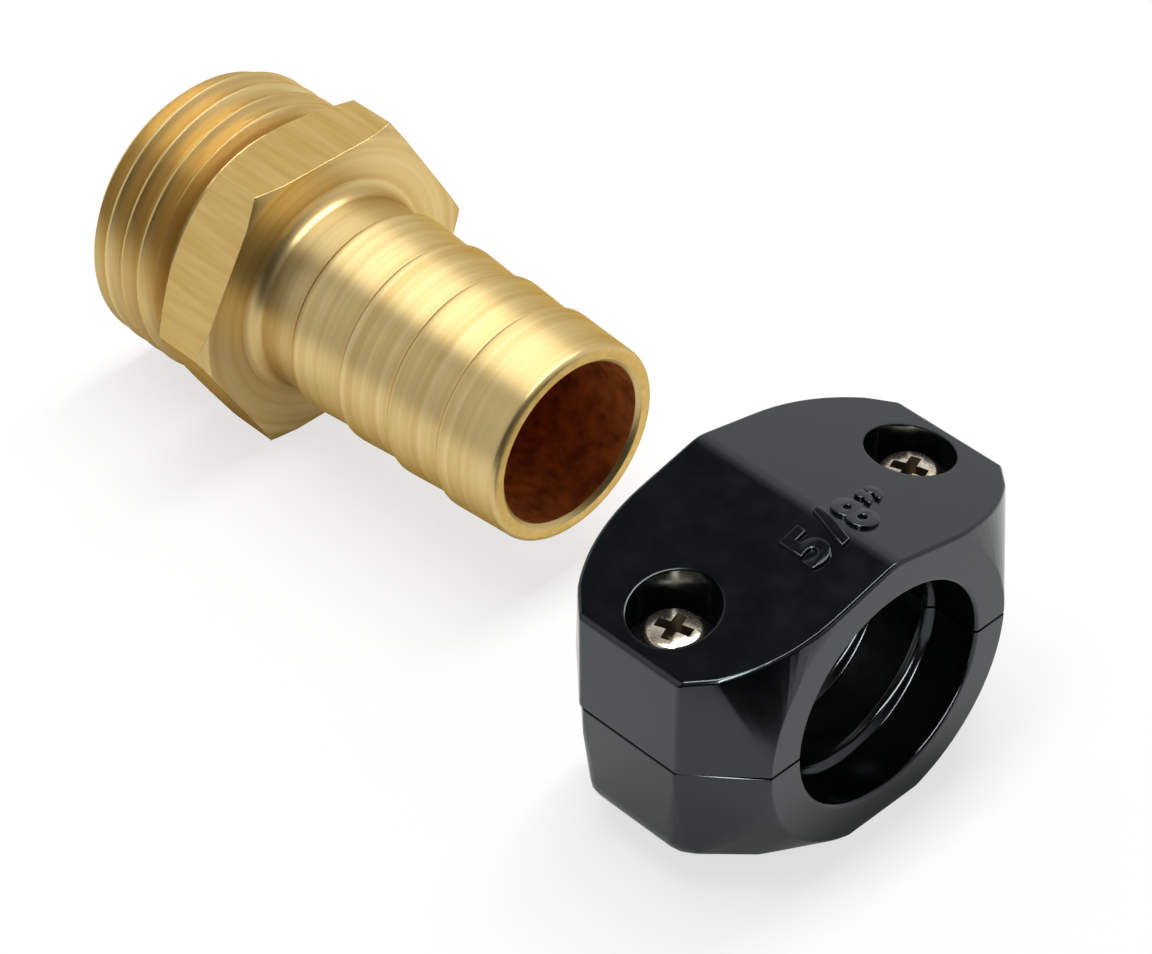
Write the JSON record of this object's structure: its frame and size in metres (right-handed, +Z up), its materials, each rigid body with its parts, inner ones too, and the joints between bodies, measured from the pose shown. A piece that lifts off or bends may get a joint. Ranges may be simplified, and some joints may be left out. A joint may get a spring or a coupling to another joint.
{
  "type": "male hose mender",
  "caption": "Male hose mender: a brass garden hose thread with a hexagon and a barbed tail, and the two-part screw clamp that grips the hose on the tail.",
  "frame": {"origin": "on the surface that the set lies on, under the middle of the whole set", "axes": "+X along the fitting's axis, from the thread to the hose tail and on to the clamp; +Y from the clamp's left screw to its right screw; +Z up, along the screws"},
  "size_m": [0.0876, 0.037, 0.0273],
  "materials": {
    "fitting_brass": "turned and bright, with fine turning lines",
    "clamp_black": "gloss, moulded",
    "screw_steel": "bright nickel plate"
  },
  "bodies": {
    "fitting_and_lower_half": {"hose_fitting": "fitting_brass", "clamp_lower": "clamp_black"},
    "upper_half": {"clamp_upper": "clamp_black"},
    "left_screw": {"screw_left": "screw_steel"},
    "right_screw": {"screw_right": "screw_steel"}
  },
  "joints": [
    {"name": "clamp_opening", "type": "slide", "parent": "fitting_and_lower_half", "child": "upper_half", "axis": [0, 0, 1], "range_m": [0, 0.006]},
    {"name": "left_screw_turn", "type": "hinge", "parent": "upper_half", "child": "left_screw", "pos_m": [0.03302, -0.01349, 0.02], "axis": [0, 0, 1], "range_deg": [0, 3402]},
    {"name": "right_screw_turn", "type": "hinge", "parent": "upper_half", "child": "right_screw", "pos_m": [0.03302, 0.01331, 0.02], "axis": [0, 0, 1], "range_deg": [0, 3402]}
  ],
  "couplings": [
    {"joint": "left_screw_turn", "follows": "clamp_opening", "rad_per_m": 9894.8},
    {"joint": "right_screw_turn", "follows": "clamp_opening", "rad_per_m": 9894.8}
  ]
}
